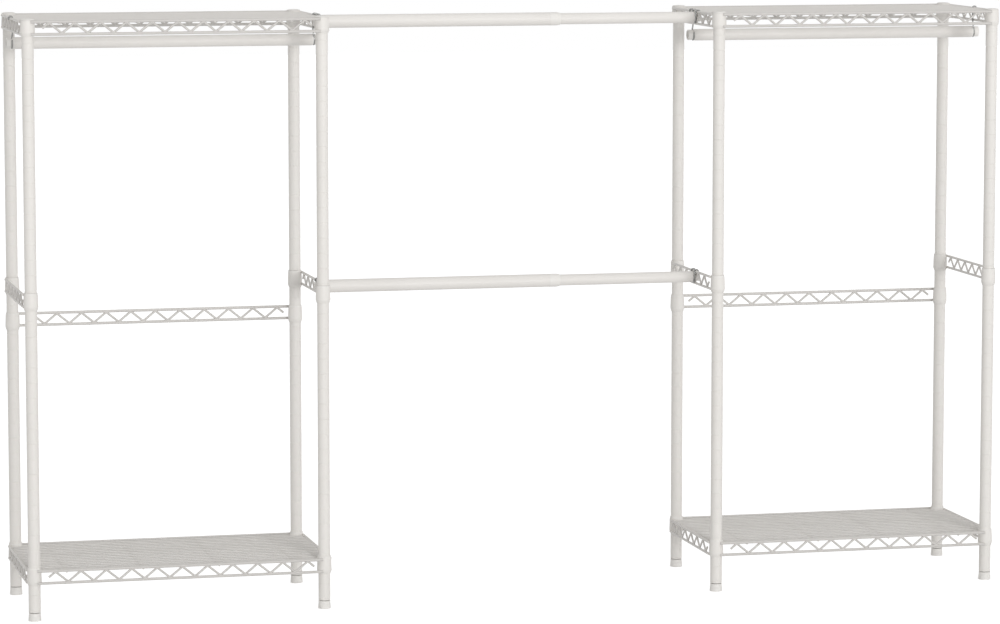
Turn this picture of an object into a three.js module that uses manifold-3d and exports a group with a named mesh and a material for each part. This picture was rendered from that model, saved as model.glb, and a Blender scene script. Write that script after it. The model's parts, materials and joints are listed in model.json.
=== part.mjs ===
// Open frame wardrobe: two wire shelf towers, joined by two telescopic hanging rods.
// Millimetres, +Z up, X along the wardrobe, the front faces -Y, origin on the floor under the middle.

import * as THREE from 'three';
import { mergeVertices } from 'three/addons/utils/BufferGeometryUtils.js';
import Module from 'manifold-3d';

const wasm = await Module();
wasm.setup();

// Towers, from post axis to post axis
const towerWidth = 883;
const towerDepth = 451;
const towerGap = 1240;

// Running and seating gaps between separate pieces
const seatGap = 0.3;
const slipGap = 0.35;

// Posts: a lower tube, and an upper tube whose spigot drops into it
const postRadius = 18;
const postWall = 1.5;
const lowerPostLength = 965.5;
const upperPostLength = 807.2;
const spigotLength = 60;
const insertLength = 28;
const roundSides = 12;

// Levelling feet
const footHeight = 20.5;
const footFlareRadius = 19.2;
const footTopRadius = 18;
const footShadowGap = 1.5;
const stemRadius = 5;
const stemLength = 36;

// Post caps
const capHeight = 4.7;
const capRadius = 20.6;
const capShoulderHeight = 2;
const capCrownRadius = 14;
const capCrownDrop = 0.8;
const capPlugLength = 16;

// Collars that grip the posts, wider at the bottom
const collarHeight = 47.5;
const collarTopRadius = 21;
const collarBottomRadius = 22.3;

// Where the collars sit on the posts
const bottomShelfLift = 87;
const sideLadderDrop = 53;
const backLadderDrop = 109.5;

// Trusses: a top and a bottom chord with a zigzag wire between them, outside the post axes
const trussOffset = 21;
const chordEndInset = 7;
const chordSpacing = 36.5;
const chordHeight = 7;
const trussThickness = 6;
const zigzagWidth = 5.4;
const shelfChordLift = 6.7;
const ladderChordLift = 10.5;
const stubShare = 0.52;

// Bends of the zigzag wires, and how far the end bends stand from the post axes
const longBendCount = 21;
const longBendInset = 57;
const shortBendCount = 12;
const shortBendInset = 42;

// Deck wires along the shelf, and the supports that cross below them
const deckWireCount = 14;
const deckWirePitch = 29;
const deckWireSize = 4.5;
const supportCount = 4;
const supportPitch = 231;
const supportSize = 5;

// Walls, end plugs and hook seats that all rods share
const rodWall = 1.2;
const plugLength = 45;
const seatRadius = 14.5;

// Hanging rods of the towers, below the chords that their hooks hang from
const towerRodRadius = 17.9;
const towerRodDrop = 73.7;
const towerNeckRadius = 12;
const towerNeckReach = 3.5;
const towerPlugRadius = 15.5;
const towerPlugReach = 15;
const towerPlugBore = 10;

// Telescopic rods between the towers: an outer tube on the left, an inner tube on the right
const outerTubeRadius = 20.1;
const outerTubeLength = 772.8;
const ringSeatRadius = 18.9;
const innerTubeRadius = 17.35;
const innerTubeLength = 738.8;
const centreRodDrop = 17;
const centreRodGapCount = 1.5;
const centreNeckRadius = 4.5;
const centreNeckReach = 4;
const centrePlugRadius = 13.7;
const centrePlugReach = 14;

// End ring on each outer tube
const ringRadius = 20.4;
const ringLength = 33;
const ringLip = 1.8;

// Bent wire hooks that carry the rods
const hookWireRadius = 2.2;
const hookTipDrop = 3;
const hookSides = 6;
const saddleSteps = 6;
const towerCrookY = 8;
const towerHookRise = 10;

// Heights and places that follow from the sizes above
const postBottom = footHeight + footShadowGap;
const jointHeight = postBottom + lowerPostLength;
const upperPostBottom = jointHeight + seatGap;
const postTop = upperPostBottom + upperPostLength;
const capBottom = postTop + seatGap;
const topShelfHeight = postTop - collarHeight;
const bottomShelfHeight = postBottom + bottomShelfLift;
const sideLadderHeight = jointHeight - sideLadderDrop;
const backLadderHeight = sideLadderHeight - backLadderDrop;
const centreRodY = -deckWirePitch * centreRodGapCount;
const hookReach = trussThickness / 2 + slipGap + hookWireRadius;
const centreChordX = towerGap / 2 - trussOffset;

// A truss is drawn along X and swung a quarter turn, in degrees, where it runs from front to back
const quarterTurn = 90;

// Materials
const coatedSteel = new THREE.MeshStandardMaterial({ color: 0xe8e5e0, roughness: 0.42, metalness: 0 });
const whitePlastic = new THREE.MeshStandardMaterial({ color: 0xe3e1dc, roughness: 0.5, metalness: 0 });

// Leaves only places in a geometry, with shared corners merged and empty triangles dropped.
function closed(geometry) {
  geometry.deleteAttribute('normal');
  geometry.deleteAttribute('uv');
  const merged = mergeVertices(geometry);
  const corners = Array.from(merged.index.array);
  const kept = [];
  for (let start = 0; start < corners.length; start += 3) {
    const triangle = corners.slice(start, start + 3);
    if (new Set(triangle).size === 3) kept.push(...triangle);
  }
  merged.setIndex(kept);
  return merged;
}

function toSolid(geometry) {
  const merged = closed(geometry);
  return new wasm.Manifold(new wasm.Mesh({
    numProp: 3,
    vertProperties: new Float32Array(merged.attributes.position.array),
    triVerts: new Uint32Array(merged.index.array),
  }));
}

function toGeometry(solid) {
  const { vertProperties, triVerts } = solid.getMesh();
  const geometry = new THREE.BufferGeometry();
  geometry.setAttribute('position', new THREE.BufferAttribute(vertProperties, 3));
  geometry.setIndex(new THREE.BufferAttribute(triVerts, 1));
  return geometry;
}

function joined(solids) {
  return solids.reduce((whole, next) => whole.add(next));
}

// An outline of [radius, height] points, turned around the Z axis.
function turned(outline) {
  const points = outline.map(([radius, height]) => new THREE.Vector2(radius, height));
  const geometry = new THREE.LatheGeometry(points, roundSides);
  geometry.rotateX(Math.PI / 2);
  return closed(geometry);
}

// A tube's outline ends where it starts.
function turnedTube(outline) {
  return turned([...outline, outline[0]]);
}

function boxSolid(size, centre) {
  const geometry = new THREE.BoxGeometry(...size);
  geometry.translate(...centre);
  return toSolid(geometry);
}

// Evenly spaced places, centred on zero.
function centredPlaces(count, pitch) {
  return Array.from({ length: count }, (_, index) => (index - (count - 1) / 2) * pitch);
}

// Posts, feet and caps

function lowerPostGeometry() {
  const boreRadius = postRadius - postWall;
  const insertRadius = stemRadius + slipGap;
  return turnedTube([
    [insertRadius, 0],
    [postRadius, 0],
    [postRadius, lowerPostLength],
    [boreRadius, lowerPostLength],
    [boreRadius, insertLength],
    [insertRadius, insertLength],
  ]);
}

function upperPostGeometry() {
  const boreRadius = postRadius - postWall;
  const spigotRadius = boreRadius - slipGap;
  const spigotBore = spigotRadius - postWall;
  return turnedTube([
    [spigotBore, -spigotLength],
    [spigotRadius, -spigotLength],
    [spigotRadius, 0],
    [postRadius, 0],
    [postRadius, upperPostLength],
    [boreRadius, upperPostLength],
    [boreRadius, postWall],
    [spigotBore, postWall],
  ]);
}

function footGeometry() {
  return turned([
    [0, 0],
    [footFlareRadius, 0],
    [footTopRadius, footHeight],
    [stemRadius, footHeight],
    [stemRadius, footHeight + stemLength],
    [0, footHeight + stemLength],
  ]);
}

function capGeometry() {
  const plugRadius = postRadius - postWall - slipGap;
  return turned([
    [0, -capPlugLength],
    [plugRadius, -capPlugLength],
    [plugRadius, 0],
    [capRadius, 0],
    [capRadius, capShoulderHeight],
    [capCrownRadius, capHeight - capCrownDrop],
    [0, capHeight],
  ]);
}

// Trusses

// The edge of a zigzag wire lies this far from its middle line, measured upright and level.
function zigzagEdges(halfPitch) {
  const slant = Math.hypot(halfPitch, chordSpacing);
  return {
    upright: zigzagWidth / 2 * slant / halfPitch,
    level: zigzagWidth / 2 * slant / chordSpacing,
  };
}

// The hole inside one bend of the zigzag. Facing is 1 for a bend on the top chord, else -1.
function bendHole(bendX, facing, halfPitch) {
  const edges = zigzagEdges(halfPitch);
  const reach = chordSpacing / 2 - chordHeight / 2;
  const tip = facing * (chordSpacing / 2 - edges.upright);
  const halfBase = halfPitch * (chordSpacing / 2 + reach) / chordSpacing - edges.level;
  return [
    [bendX, tip],
    [bendX + halfBase, -facing * reach],
    [bendX - halfBase, -facing * reach],
  ];
}

// The open end of a truss, past its last bend, with the free stub of wire in it.
function endHole(bendX, facing, outward, halfPitch, openX) {
  const edges = zigzagEdges(halfPitch);
  const reach = chordSpacing / 2 - chordHeight / 2;
  const [tip, base] = bendHole(bendX, facing, halfPitch);
  const halfBase = base[0] - bendX;
  const stubX = bendX + outward * halfPitch * stubShare;
  const stubZ = facing * chordSpacing * (1 / 2 - stubShare);
  const rootX = bendX + outward * (halfPitch * chordHeight / 2 / chordSpacing + edges.level);
  return [
    [bendX - outward * halfBase, -facing * reach],
    tip,
    [stubX, stubZ - facing * edges.upright],
    [stubX, stubZ + facing * edges.upright],
    [rootX, facing * reach],
    [openX, facing * reach],
    [openX, -facing * reach],
  ];
}

// A flat plate of the given outline, standing along X and centred on its thickness.
function standingPlate(corners, thickness) {
  const outline = new THREE.Shape(corners.map(([x, z]) => new THREE.Vector2(x, z)));
  const geometry = new THREE.ExtrudeGeometry(outline, { depth: thickness, bevelEnabled: false });
  geometry.translate(0, 0, -thickness / 2);
  geometry.rotateX(Math.PI / 2);
  return toSolid(geometry);
}

// A truss along X between two post axes. Its first bend, at low X, is on the top chord.
function trussSolid(length, bendCount, bendInset) {
  const halfPitch = (length - 2 * bendInset) / (bendCount - 1);
  const halfHeight = chordSpacing / 2 + chordHeight / 2;
  const chordEndX = length / 2 - chordEndInset;
  const openX = length / 2;
  const bends = centredPlaces(bendCount, halfPitch).map((x, index) => [x, index % 2 ? -1 : 1]);
  const [firstX, firstFacing] = bends[0];
  const [lastX, lastFacing] = bends[bendCount - 1];
  const holes = bends.slice(1, -1).map(([x, facing]) => bendHole(x, facing, halfPitch));
  holes.push(endHole(firstX, firstFacing, -1, halfPitch, -openX));
  holes.push(endHole(lastX, lastFacing, 1, halfPitch, openX));

  const plate = standingPlate([
    [-chordEndX, -halfHeight],
    [chordEndX, -halfHeight],
    [chordEndX, halfHeight],
    [-chordEndX, halfHeight],
  ], trussThickness);
  return plate.subtract(joined(holes.map((corners) => standingPlate(corners, 2 * trussThickness))));
}

function longTruss(y, chordLift) {
  const truss = trussSolid(towerWidth, longBendCount, longBendInset);
  return truss.translate([0, y, chordLift + chordSpacing / 2]);
}

function shortTruss(x, chordLift) {
  const truss = trussSolid(towerDepth, shortBendCount, shortBendInset);
  return truss.rotate([0, 0, -quarterTurn]).translate([x, 0, chordLift + chordSpacing / 2]);
}

// Collars, ladders and shelves

function collarSolid(x, y) {
  const geometry = turned([
    [0, 0],
    [collarBottomRadius, 0],
    [collarTopRadius, collarHeight],
    [0, collarHeight],
  ]);
  geometry.translate(x, y, 0);
  return toSolid(geometry);
}

function postHoleSolid(x, y) {
  const radius = postRadius + slipGap;
  const geometry = turned([
    [0, -collarHeight],
    [radius, -collarHeight],
    [radius, 2 * collarHeight],
    [0, 2 * collarHeight],
  ]);
  geometry.translate(x, y, 0);
  return toSolid(geometry);
}

// Joins wire work to a collar at each corner, then opens the post holes.
function collared(corners, wireWork) {
  const whole = joined([...wireWork, ...corners.map(([x, y]) => collarSolid(x, y))]);
  const holes = joined(corners.map(([x, y]) => postHoleSolid(x, y)));
  return toGeometry(whole.subtract(holes));
}

// Outward is 1 where the truss stands on the +X side of the posts, else -1.
function sideLadderGeometry(outward) {
  const corners = [[0, -towerDepth / 2], [0, towerDepth / 2]];
  return collared(corners, [shortTruss(outward * trussOffset, ladderChordLift)]);
}

function backLadderGeometry() {
  const corners = [[-towerWidth / 2, 0], [towerWidth / 2, 0]];
  return collared(corners, [longTruss(trussOffset, ladderChordLift)]);
}

function shelfGeometry() {
  const postX = towerWidth / 2;
  const postY = towerDepth / 2;
  const chordX = postX + trussOffset;
  const chordY = postY + trussOffset;
  const deckZ = shelfChordLift + chordSpacing;
  const supportZ = deckZ - deckWireSize / 2 - seatGap - supportSize / 2;
  const edgeWireY = deckWirePitch * (deckWireCount + 1) / 2;
  const corners = [-postX, postX].flatMap((x) => [-postY, postY].map((y) => [x, y]));
  const wireWork = [
    ...[-chordY, chordY].map((y) => longTruss(y, shelfChordLift)),
    ...[-chordX, chordX].map((x) => shortTruss(x, shelfChordLift)),
    ...centredPlaces(deckWireCount, deckWirePitch).map((y) => (
      boxSolid([2 * chordX, deckWireSize, deckWireSize], [0, y, deckZ]))),
    ...[-edgeWireY, edgeWireY].map((y) => (
      boxSolid([towerWidth, deckWireSize, deckWireSize], [0, y, deckZ]))),
    ...centredPlaces(supportCount, supportPitch).map((x) => (
      boxSolid([supportSize, 2 * chordY, supportSize], [x, 0, supportZ]))),
  ];
  return collared(corners, wireWork);
}

// Rods, along X

// The end of a rod that hangs under a chord: shoulder, hook seat, neck, then an end plug past the chord.
// Outward is 1 at the +X end, else -1. The points run outwards, and back in along the plug's bore.
function hungEnd(radius, chordX, outward, neck, plug) {
  const shoulderX = chordX - outward * (hookReach + hookWireRadius + slipGap);
  const seatX = chordX - outward * (trussThickness / 2 + slipGap);
  const neckX = chordX + outward * neck.reach;
  const endX = chordX + outward * plug.reach;
  const innerX = endX - outward * plugLength;
  return [
    [radius, shoulderX],
    [seatRadius, shoulderX],
    [seatRadius, seatX],
    [neck.radius, seatX],
    [neck.radius, neckX],
    [plug.radius, neckX],
    [plug.radius, endX],
    [plug.bore, endX],
    [plug.bore, innerX],
    [radius - rodWall, innerX],
  ];
}

function openEnd(radius, x) {
  return [[radius, x], [radius - rodWall, x]];
}

function rodGeometry(startOutline, endOutline) {
  const geometry = turnedTube([...startOutline.reverse(), ...endOutline]);
  geometry.rotateY(Math.PI / 2);
  return geometry;
}

function towerRodGeometry() {
  const chordX = towerWidth / 2 + trussOffset;
  const neck = { radius: towerNeckRadius, reach: towerNeckReach };
  const plug = { radius: towerPlugRadius, reach: towerPlugReach, bore: towerPlugBore };
  const start = hungEnd(towerRodRadius, -chordX, -1, neck, plug);
  return rodGeometry(start, hungEnd(towerRodRadius, chordX, 1, neck, plug));
}

const centreNeck = { radius: centreNeckRadius, reach: centreNeckReach };
const centrePlug = { radius: centrePlugRadius, reach: centrePlugReach, bore: 0 };
const outerTubeEnd = outerTubeLength - centreChordX - centrePlugReach;
const innerTubeStart = centreChordX + centrePlugReach - innerTubeLength;

// The open end is drawn in, so that the end ring sits flush on it.
function outerTubeGeometry() {
  const start = hungEnd(outerTubeRadius, -centreChordX, -1, centreNeck, centrePlug);
  const seatX = outerTubeEnd + ringLip - ringLength;
  const boreStepX = seatX - 2 * rodWall;
  return rodGeometry(start, [
    [outerTubeRadius, seatX],
    [ringSeatRadius, seatX],
    ...openEnd(ringSeatRadius, outerTubeEnd),
    [ringSeatRadius - rodWall, boreStepX],
    [outerTubeRadius - rodWall, boreStepX],
  ]);
}

function innerTubeGeometry() {
  const end = hungEnd(innerTubeRadius, centreChordX, 1, centreNeck, centrePlug);
  return rodGeometry(openEnd(innerTubeRadius, innerTubeStart), end);
}

function endRingGeometry() {
  const wideBore = ringSeatRadius + slipGap;
  const narrowBore = innerTubeRadius + slipGap;
  const shoulder = outerTubeEnd + seatGap;
  const end = shoulder + ringLip;
  const geometry = turnedTube([
    [ringRadius, end - ringLength],
    [ringRadius, end],
    [narrowBore, end],
    [narrowBore, shoulder],
    [wideBore, shoulder],
    [wideBore, end - ringLength],
  ]);
  geometry.rotateY(Math.PI / 2);
  return geometry;
}

// Hooks

// A wire that runs straight from point to point, with one step to a stretch.
class WirePath extends THREE.Curve {
  constructor(points) {
    super();
    this.points = points;
  }

  getPoint(share) {
    const place = share * (this.points.length - 1);
    const index = Math.min(Math.floor(place), this.points.length - 2);
    return this.points[index].clone().lerp(this.points[index + 1], place - index);
  }

  getPointAt(share) {
    return this.getPoint(share);
  }

  getTangentAt(share) {
    const index = Math.round(share * (this.points.length - 1));
    const before = this.points[Math.max(index - 1, 0)];
    const here = this.points[index];
    const after = this.points[Math.min(index + 1, this.points.length - 1)];
    const incoming = here.clone().sub(before).normalize();
    const outgoing = after.clone().sub(here).normalize();
    return incoming.add(outgoing).normalize();
  }
}

function wireGeometry(places) {
  const path = new WirePath(places.map((place) => new THREE.Vector3(...place)));
  const section = new THREE.Shape().absarc(0, 0, hookWireRadius, 0, 2 * Math.PI);
  return closed(new THREE.ExtrudeGeometry(section, {
    steps: places.length - 1,
    curveSegments: hookSides / 2,
    extrudePath: path,
  }));
}

// Hooks hang over a chord that runs along Y through the origin, and carry a rod on its +X side.

// The crook over the chord, from its tip behind the chord to the front.
function crookPlaces(y) {
  const overZ = chordHeight / 2 + slipGap + hookWireRadius;
  return [[-hookReach, y, -hookTipDrop], [-hookReach, y, overZ], [hookReach, y, overZ]];
}

// The half ring under a rod's seat, from the +Y side to the -Y side.
const saddleRadius = (seatRadius + slipGap + hookWireRadius) / Math.cos(Math.PI / saddleSteps / 2);
function saddlePlaces(drop) {
  return Array.from({ length: saddleSteps + 1 }, (_, index) => {
    const angle = Math.PI * index / saddleSteps;
    return [hookReach, saddleRadius * Math.cos(angle), -drop - saddleRadius * Math.sin(angle)];
  });
}

// Hangs by a crook on each side of the rod.
function centreHookGeometry() {
  const saddle = saddlePlaces(centreRodDrop);
  return wireGeometry([...crookPlaces(saddleRadius), ...saddle, ...crookPlaces(-saddleRadius).reverse()]);
}

// Hangs by one long leg, and ends free on the far side of the rod.
function towerHookGeometry() {
  const freeEnd = [hookReach, -saddleRadius, towerHookRise - towerRodDrop];
  return wireGeometry([...crookPlaces(towerCrookY), ...saddlePlaces(towerRodDrop), freeEnd]);
}

// Assembly

const wardrobe = new THREE.Group();

function addPiece(parent, name, geometry, material, place) {
  const mesh = new THREE.Mesh(geometry, material);
  mesh.name = name;
  mesh.position.set(...place);
  parent.add(mesh);
  return mesh;
}

const lowerPost = lowerPostGeometry();
const upperPost = upperPostGeometry();
const foot = footGeometry();
const cap = capGeometry();
const shelf = shelfGeometry();
const sideLadders = { '-1': sideLadderGeometry(-1), 1: sideLadderGeometry(1) };
const backLadder = backLadderGeometry();
const towerRod = towerRodGeometry();
const towerHook = towerHookGeometry();
const centreHook = centreHookGeometry();

const upperChordZ = topShelfHeight + shelfChordLift + chordSpacing;
const ladderChordZ = sideLadderHeight + ladderChordLift + chordSpacing;
const towerRodZ = upperChordZ - towerRodDrop;

function addPost(tower, name, x, y) {
  addPiece(tower, `${name}_foot`, foot, whitePlastic, [x, y, 0]);
  addPiece(tower, `${name}_lower_post`, lowerPost, coatedSteel, [x, y, postBottom]);
  addPiece(tower, `${name}_upper_post`, upperPost, coatedSteel, [x, y, upperPostBottom]);
  addPiece(tower, `${name}_cap`, cap, whitePlastic, [x, y, capBottom]);
}

// Facing is 1 where the rod lies on the +X side of its chord, else -1.
function addHook(tower, name, geometry, facing, place) {
  const hook = addPiece(tower, name, geometry, coatedSteel, place);
  hook.rotation.z = facing > 0 ? 0 : Math.PI;
}

function addTower(side, sign) {
  const tower = new THREE.Group();
  tower.position.x = sign * (towerGap + towerWidth) / 2;
  wardrobe.add(tower);

  const columns = { outer: sign * towerWidth / 2, inner: -sign * towerWidth / 2 };
  const rows = { front: -towerDepth / 2, back: towerDepth / 2 };
  for (const [row, y] of Object.entries(rows)) {
    for (const [column, x] of Object.entries(columns)) addPost(tower, `${side}_${row}_${column}`, x, y);
  }

  addPiece(tower, `${side}_top_shelf`, shelf, coatedSteel, [0, 0, topShelfHeight]);
  addPiece(tower, `${side}_bottom_shelf`, shelf, coatedSteel, [0, 0, bottomShelfHeight]);
  addPiece(tower, `${side}_back_ladder`, backLadder, coatedSteel, [0, rows.back, backLadderHeight]);
  addPiece(tower, `${side}_tower_rod`, towerRod, coatedSteel, [0, 0, towerRodZ]);
  for (const [column, x] of Object.entries(columns)) {
    const outward = Math.sign(x);
    const ladder = sideLadders[outward];
    const chordX = x + outward * trussOffset;
    addPiece(tower, `${side}_${column}_side_ladder`, ladder, coatedSteel, [x, 0, sideLadderHeight]);
    addHook(tower, `${side}_${column}_tower_rod_hook`, towerHook, -outward, [chordX, 0, upperChordZ]);
  }
  const chordX = columns.inner - sign * trussOffset;
  for (const [level, chordZ] of [['upper', upperChordZ], ['lower', ladderChordZ]]) {
    addHook(tower, `${side}_${level}_centre_hook`, centreHook, -sign, [chordX, centreRodY, chordZ]);
  }
}

function addCentreRod(level, chordZ) {
  const place = [0, centreRodY, chordZ - centreRodDrop];
  addPiece(wardrobe, `${level}_centre_outer_tube`, outerTubeGeometry(), coatedSteel, place);
  addPiece(wardrobe, `${level}_centre_inner_tube`, innerTubeGeometry(), coatedSteel, place);
  addPiece(wardrobe, `${level}_centre_end_ring`, endRingGeometry(), whitePlastic, place);
}

addTower('left', -1);
addTower('right', 1);
addCentreRod('upper', upperChordZ);
addCentreRod('lower', ladderChordZ);

export default wardrobe;
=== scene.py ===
import json
import math

import bmesh
import bpy
from mathutils import Matrix, Vector


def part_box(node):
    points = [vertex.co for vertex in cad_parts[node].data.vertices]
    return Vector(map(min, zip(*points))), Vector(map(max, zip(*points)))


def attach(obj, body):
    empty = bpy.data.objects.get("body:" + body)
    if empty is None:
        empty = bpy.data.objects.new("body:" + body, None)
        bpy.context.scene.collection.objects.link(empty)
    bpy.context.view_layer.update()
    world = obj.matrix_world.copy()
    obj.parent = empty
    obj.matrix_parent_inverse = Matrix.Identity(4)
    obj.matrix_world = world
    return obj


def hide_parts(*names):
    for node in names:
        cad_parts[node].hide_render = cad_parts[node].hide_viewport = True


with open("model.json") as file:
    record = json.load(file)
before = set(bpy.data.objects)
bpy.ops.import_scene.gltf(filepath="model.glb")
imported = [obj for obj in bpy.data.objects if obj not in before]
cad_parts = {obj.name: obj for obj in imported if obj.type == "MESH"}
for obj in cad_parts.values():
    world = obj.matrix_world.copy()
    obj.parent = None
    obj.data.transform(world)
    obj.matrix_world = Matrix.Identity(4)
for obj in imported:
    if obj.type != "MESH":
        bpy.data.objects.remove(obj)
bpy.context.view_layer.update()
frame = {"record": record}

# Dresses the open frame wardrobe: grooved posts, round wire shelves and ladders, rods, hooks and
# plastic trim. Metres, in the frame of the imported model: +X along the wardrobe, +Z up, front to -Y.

MM = 0.001

# Grooves of the posts, each with four corners along the post
FIRST_GROOVE = 32.5 * MM
GROOVE_PITCH = 45.8 * MM
GROOVE_WIDTH = 2.6 * MM
GROOVE_DEPTH = 0.8 * MM
GROOVE_CORNERS = 4

# Post tubes
POST_WALL = 1.5 * MM
TUBE_EDGE = 0.7 * MM
INSERT_BORE = 5.35 * MM
INSERT_LENGTH = 28 * MM
SPIGOT_LENGTH = 60 * MM
SPIGOT_RADIUS = 16.15 * MM
SPIGOT_BORE = 14.65 * MM

# Levelling feet. A foot widens to a rim near the floor, steps in halfway up and has a boss on top.
FOOT_HEIGHT = 24 * MM
FOOT_SHADOW_GAP = 2 * MM
FOOT_BASE_RADIUS = 18.9 * MM
FOOT_RIM_RADIUS = 19.2 * MM
FOOT_RIM_HEIGHT = 1.2 * MM
FOOT_RIM_EDGE = 0.5 * MM
FOOT_BAND_RADIUS = 18.6 * MM
FOOT_BAND_BOTTOM = 12 * MM
FOOT_BAND_TOP = 13.4 * MM
FOOT_BAND_EDGE = 0.3 * MM
FOOT_STEP_RADIUS = 18.1 * MM
FOOT_STEP_HEIGHT = 13.8 * MM
FOOT_STEP_EDGE = 0.2 * MM
FOOT_TOP_RADIUS = 18 * MM
FOOT_TOP_EDGE = 0.7 * MM
FOOT_BOSS_RADIUS = 7.5 * MM
FOOT_BOSS_RISE = 1 * MM
FOOT_BOSS_EDGE = 0.3 * MM
SCREW_RADIUS = 4.9 * MM
THREAD_PITCH = 1.5 * MM
THREAD_DEPTH = 0.8 * MM

# Post caps
CAP_HEIGHT = 4.7 * MM
CAP_SEAT_EDGE = 0.4 * MM
CAP_RIM_HEIGHT = 2.4 * MM
CAP_RIM_ROUNDING = 1.6 * MM
CAP_DOME_RADIUS = 14 * MM
CAP_DOME_DROP = 0.6 * MM
CAP_DOME_ROUNDING = 6 * MM
CAP_PLUG_RADIUS = 16.15 * MM
CAP_PLUG_EDGE = 0.6 * MM

# Wire work. Trusses stand outside the post axes, and their chords end a little before the posts.
TRUSS_OFFSET = 21 * MM
CHORD_END_INSET = 7 * MM
CHORD_RADIUS = 3.9 * MM
ZIGZAG_RADIUS = 3 * MM
ZIGZAG_BEND = 4 * MM
ZIGZAG_HEIGHT = 31 * MM
LONG_CHORD_RADIUS = 4.3 * MM
LONG_ZIGZAG_RADIUS = 3.5 * MM
CHORD_SPACING = 36.5 * MM
SHELF_CHORD_LIFT = 6.7 * MM
LADDER_CHORD_LIFT = 10.5 * MM
STUB_SHARE = 0.52
DECK_WIRE_COUNT = 14
DECK_WIRE_PITCH = 29 * MM
DECK_WIRE_RADIUS = 2.5 * MM
EDGE_WIRE_INSET = 17.5 * MM
SUPPORT_COUNT = 4
SUPPORT_PITCH = 231 * MM
SUPPORT_RADIUS = 2.5 * MM

# Bends of the zigzag wires, how far the end bends stand from the post axes, and a shift along the truss
SHELF_BENDS = (21, 58 * MM, 3 * MM)
LADDER_BENDS = (21, 58 * MM, 4.7 * MM)
SHORT_BENDS = (12, 42 * MM, 0)

# Collars and the split sleeves that wedge them on the posts
COLLAR_BORE = 18.35 * MM
COLLAR_TOP_RADIUS = 21 * MM
COLLAR_TOP_EDGE = 1 * MM
COLLAR_WIDE_RADIUS = 22.3 * MM
COLLAR_WIDE_ROUNDING = 1.5 * MM
COLLAR_TOE_RADIUS = 19.3 * MM
COLLAR_TOE_HEIGHT = 10 * MM
COLLAR_TOE_EDGE = 0.6 * MM
SLEEVE_LIP = 5.5 * MM
SLEEVE_SUNK = 4 * MM
SLEEVE_RADIUS = 20.4 * MM
SLEEVE_BORE = 18.05 * MM
SLEEVE_SLIT = 2.4 * MM
SLEEVE_OUTER_EDGE = 0.7 * MM
SLEEVE_INNER_EDGE = 0.3 * MM

# Rods and the rings on the open ends of their outer tubes
ROD_WALL = 1.2 * MM
ROD_EDGE = 0.4 * MM
RING_SEAT_RADIUS = 18.9 * MM
RING_LIP = 1.8 * MM
RING_EDGE = 0.4 * MM
RING_TAPER = 9 * MM
RING_TAPER_ROUNDING = 5 * MM
RING_NOSE = 0.6 * MM
RING_NOSE_ROUNDING = 1 * MM
SLIP_GAP = 0.35 * MM

# Rod ends

# Places along X are counted outwards from the chord that the rod hangs from. The tube ends at the
# shoulder. From there a moulded plug runs on: collar, seat for the hook, neck and knob.
TOWER_END = {
    "shoulder": -8.6 * MM,
    "collar": -4.4 * MM,
    "seat": 0.5 * MM,
    "neck": 0.5 * MM,
    "knob": 15 * MM,
    "seat radius": 13.3 * MM,
    "neck radius": 13.3 * MM,
    "knob radius": 16 * MM,
    "recess radius": 12.6 * MM,
    "recess depth": 9 * MM,
}
CENTRE_END = {
    "shoulder": -8.6 * MM,
    "collar": -8.4 * MM,
    "seat": -3.8 * MM,
    "neck": 4 * MM,
    "knob": 14 * MM,
    "seat radius": 14.5 * MM,
    "neck radius": 4.5 * MM,
    "knob radius": 13.7 * MM,
    "recess radius": 10.5 * MM,
    "recess depth": 5 * MM,
}
PLUG_DEPTH = 30 * MM
PLUG_SLACK = 0.05 * MM
PLUG_TIP_EDGE = 1 * MM
PLUG_SHOULDER_EDGE = 0.1 * MM
PLUG_COLLAR_STEP = 0.3 * MM
PLUG_COLLAR_EDGE = 0.8 * MM
PLUG_SEAT_EDGE = 0.4 * MM
PLUG_NECK_EDGE = 0.3 * MM
KNOB_INNER_EDGE = 0.8 * MM
KNOB_OUTER_EDGE = 1.6 * MM
RECESS_RIM_EDGE = 0.8 * MM
RECESS_FLOOR_EDGE = 0.6 * MM

# Hooks
HOOK_WIRE_RADIUS = 2.2 * MM
HOOK_REACH = 6.2 * MM
HOOK_TIP_DROP = 3 * MM
HOOK_BEND = 5 * MM
HOOK_CHORD_CLEARANCE = 0.2 * MM
HOOK_SEAT_CLEARANCE = 0.3 * MM
TOWER_ROD_DROP = 73.7 * MM
TOWER_CROOK_Y = 8 * MM
TOWER_HOOK_RISE = 10 * MM
TOWER_SADDLE_REACH = 2 * MM
CENTRE_ROD_DROP = 17 * MM

# How finely round pieces are made, and how near two corners of a mesh are when they are one
POST_SIDES = 48
WIRE_SIDES = 12
THREAD_SIDES = 24
THREAD_ROWS_A_TURN = 4
SADDLE_STEPS = 24
ARC_STEPS = 4
SMOOTH_ANGLE = math.radians(35)
SAME_CORNER = 0.001 * MM

# Finishes. Scales of patterns are in waves a metre.
TONE_SHARE = 0.5
SWELL_SCALE = 90
SWELL_SHARE = 0.4
DUST_COLOUR = (0.6, 0.57, 0.52, 1)
DUST_SCALE = 160.0
DUST_SLOPE_POWER = 2
PEBBLE_STRENGTH = 0.35
FINISH_ROUGHNESS = 0.5
FINISH_SPECULAR_LEVEL = 0.3
COAT_ROUGHNESS = 0.25
ZINC_SCALE = 220.0
ZINC_ROUGHNESS = 0.25
ZINC_ROUGHNESS_SPREAD = 0.2

# Camera, with angles in degrees down from the horizon and right from straight back, and a lens in mm
CAMERA_PLACE = (-3.0788, -12.6973, 2.3778)
CAMERA_PITCH = 6.608
CAMERA_YAW = 13.56
CAMERA_LENS = 152.53
CAMERA_SENSOR = 36
CAMERA_RANGE = 100

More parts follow.
